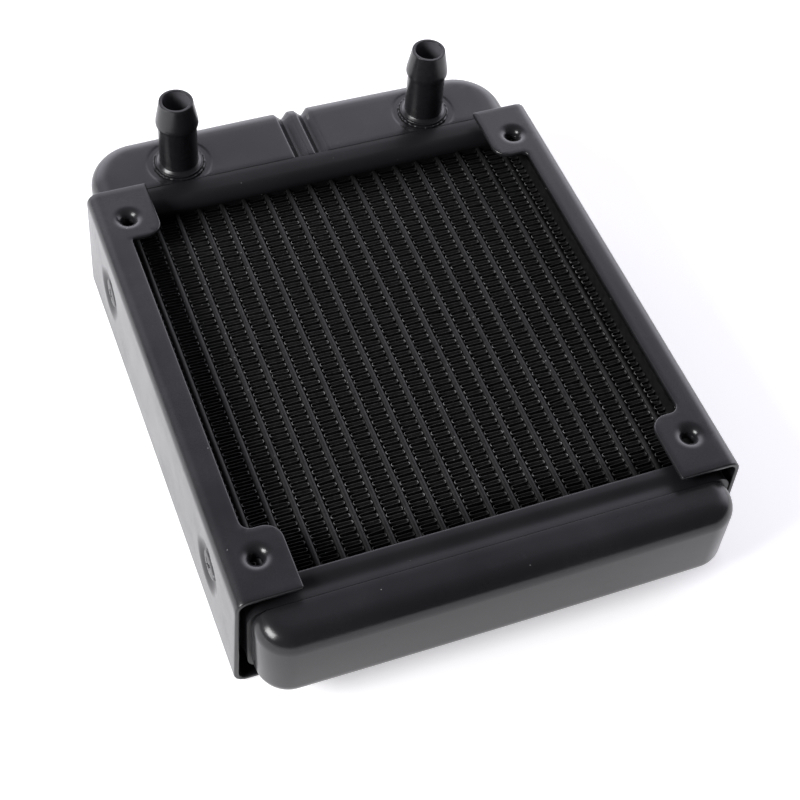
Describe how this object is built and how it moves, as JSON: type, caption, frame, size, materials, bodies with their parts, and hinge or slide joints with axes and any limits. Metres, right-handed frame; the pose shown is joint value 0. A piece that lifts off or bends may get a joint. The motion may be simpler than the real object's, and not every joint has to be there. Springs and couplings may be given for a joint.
{
  "type": "liquid cooling radiator",
  "caption": "Flat radiator with a fin and tube core between two tanks, folded steel side channels with pressed screw tabs, and two barbed hose fittings standing up from one tank.",
  "frame": {"origin": "bottom centre of the bounding box", "axes": "+Z is the side the hose fittings point to and a fan mounts on, +Y points at the tank with the fittings, +X is to the right when looking along +Y"},
  "size_m": [0.1224, 0.1588, 0.0509],
  "materials": {
    "channel": "satin black powder coat on folded steel",
    "tank": "satin black paint on pressed aluminium",
    "core": "thin matte black paint on tubes and fins",
    "fitting": "semi-gloss black",
    "screw": "black zinc plated"
  },
  "bodies": {
    "root": {"side_channel_left": "channel", "side_channel_right": "channel", "channel_screw_left_front": "screw", "channel_screw_left_rear": "screw", "channel_screw_right_front": "screw", "channel_screw_right_rear": "screw", "core_side_plate_left": "core", "core_side_plate_right": "core", "header_front": "tank", "header_rear": "tank", "return_tank": "tank", "port_tank": "tank", "tank_divider": "core", "inlet_fitting": "fitting", "outlet_fitting": "fitting", "flat_tube_01": "core", "flat_tube_02": "core", "flat_tube_03": "core", "flat_tube_04": "core", "flat_tube_05": "core", "flat_tube_06": "core", "flat_tube_07": "core", "flat_tube_08": "core", "flat_tube_09": "core", "flat_tube_10": "core", "flat_tube_11": "core", "flat_tube_12": "core", "flat_tube_13": "core", "flat_tube_14": "core", "flat_tube_15": "core", "flat_tube_16": "core", "flat_tube_17": "core", "flat_tube_18": "core", "fin_strip_01": "core", "fin_strip_02": "core", "fin_strip_03": "core", "fin_strip_04": "core", "fin_strip_05": "core", "fin_strip_06": "core", "fin_strip_07": "core", "fin_strip_08": "core", "fin_strip_09": "core", "fin_strip_10": "core", "fin_strip_11": "core", "fin_strip_12": "core", "fin_strip_13": "core", "fin_strip_14": "core", "fin_strip_15": "core", "fin_strip_16": "core", "fin_strip_17": "core", "fin_strip_18": "core", "fin_strip_19": "core"}
  },
  "joints": []
}
